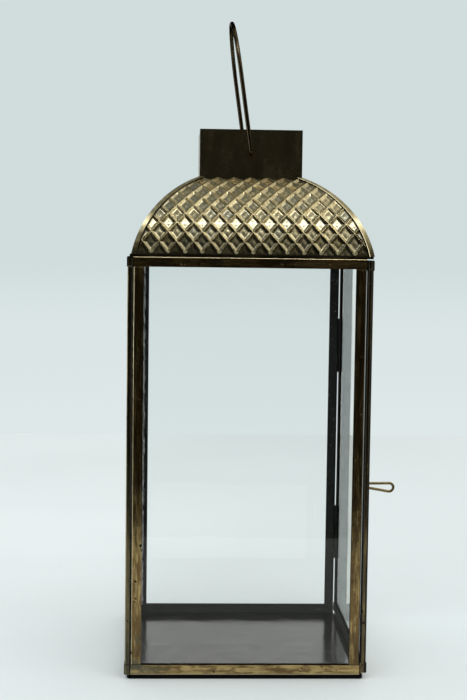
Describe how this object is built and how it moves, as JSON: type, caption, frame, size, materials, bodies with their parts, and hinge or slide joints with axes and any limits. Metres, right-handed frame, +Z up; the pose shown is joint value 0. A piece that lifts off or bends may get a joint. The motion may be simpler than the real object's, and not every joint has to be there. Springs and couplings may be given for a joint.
{
  "type": "candle lantern",
  "caption": "Tall square candle lantern of aged brass and glass, with a hinged glass door, a domed embossed roof, a square chimney and a wire carrying handle.",
  "frame": {"origin": "centre of the base pad's underside, the face the lantern stands on", "axes": "+Z up, -Y out of the front panel, +X out of the door"},
  "size_m": [0.2005, 0.1807, 0.499],
  "materials": {
    "frame_brass": "aged, satin",
    "roof_brass": "aged, embossed",
    "chimney_brass": "dark antique",
    "plate_brass": "satin",
    "wire_brass": "aged, satin",
    "solder": "dull, streaky",
    "pad": "matt black",
    "glass": "clear"
  },
  "bodies": {
    "lantern": {"front_left_stile": "frame_brass", "front_right_stile": "frame_brass", "front_bottom_rail": "frame_brass", "front_top_rail": "frame_brass", "front_glass": "glass", "back_right_stile": "frame_brass", "back_left_stile": "frame_brass", "back_bottom_rail": "frame_brass", "back_top_rail": "frame_brass", "back_glass": "glass", "left_rear_stile": "frame_brass", "left_front_stile": "frame_brass", "left_bottom_rail": "frame_brass", "left_top_rail": "frame_brass", "left_glass": "glass", "base_pad": "pad", "base_plate": "plate_brass", "corner_solder_seams": "solder", "eave_ring": "frame_brass", "roof_right_panel": "roof_brass", "roof_back_panel": "roof_brass", "roof_left_panel": "roof_brass", "roof_front_panel": "roof_brass", "roof_hip_seams": "roof_brass", "chimney_box": "chimney_brass", "handle_eyelets": "wire_brass", "hinge_upper_frame_leaf": "frame_brass", "hinge_upper_pin": "frame_brass", "hinge_lower_frame_leaf": "frame_brass", "hinge_lower_pin": "frame_brass"},
    "door": {"door_front_stile": "frame_brass", "door_rear_stile": "frame_brass", "door_bottom_rail": "frame_brass", "door_top_rail": "frame_brass", "door_glass": "glass", "door_pull": "wire_brass", "hinge_upper_door_leaf": "frame_brass", "hinge_lower_door_leaf": "frame_brass"},
    "handle": {"bail_handle": "wire_brass"}
  },
  "joints": [
    {"name": "door_hinge", "type": "hinge", "parent": "lantern", "child": "door", "pos_m": [0.0861, 0.09, 0.1], "axis": [0, 0, 1], "range_deg": [0, 180]},
    {"name": "handle_pivot", "type": "hinge", "parent": "lantern", "child": "handle", "pos_m": [0.0017, 0, 0.39383], "axis": [0, 1, 0], "range_deg": [-101.8, 118.2]}
  ]
}
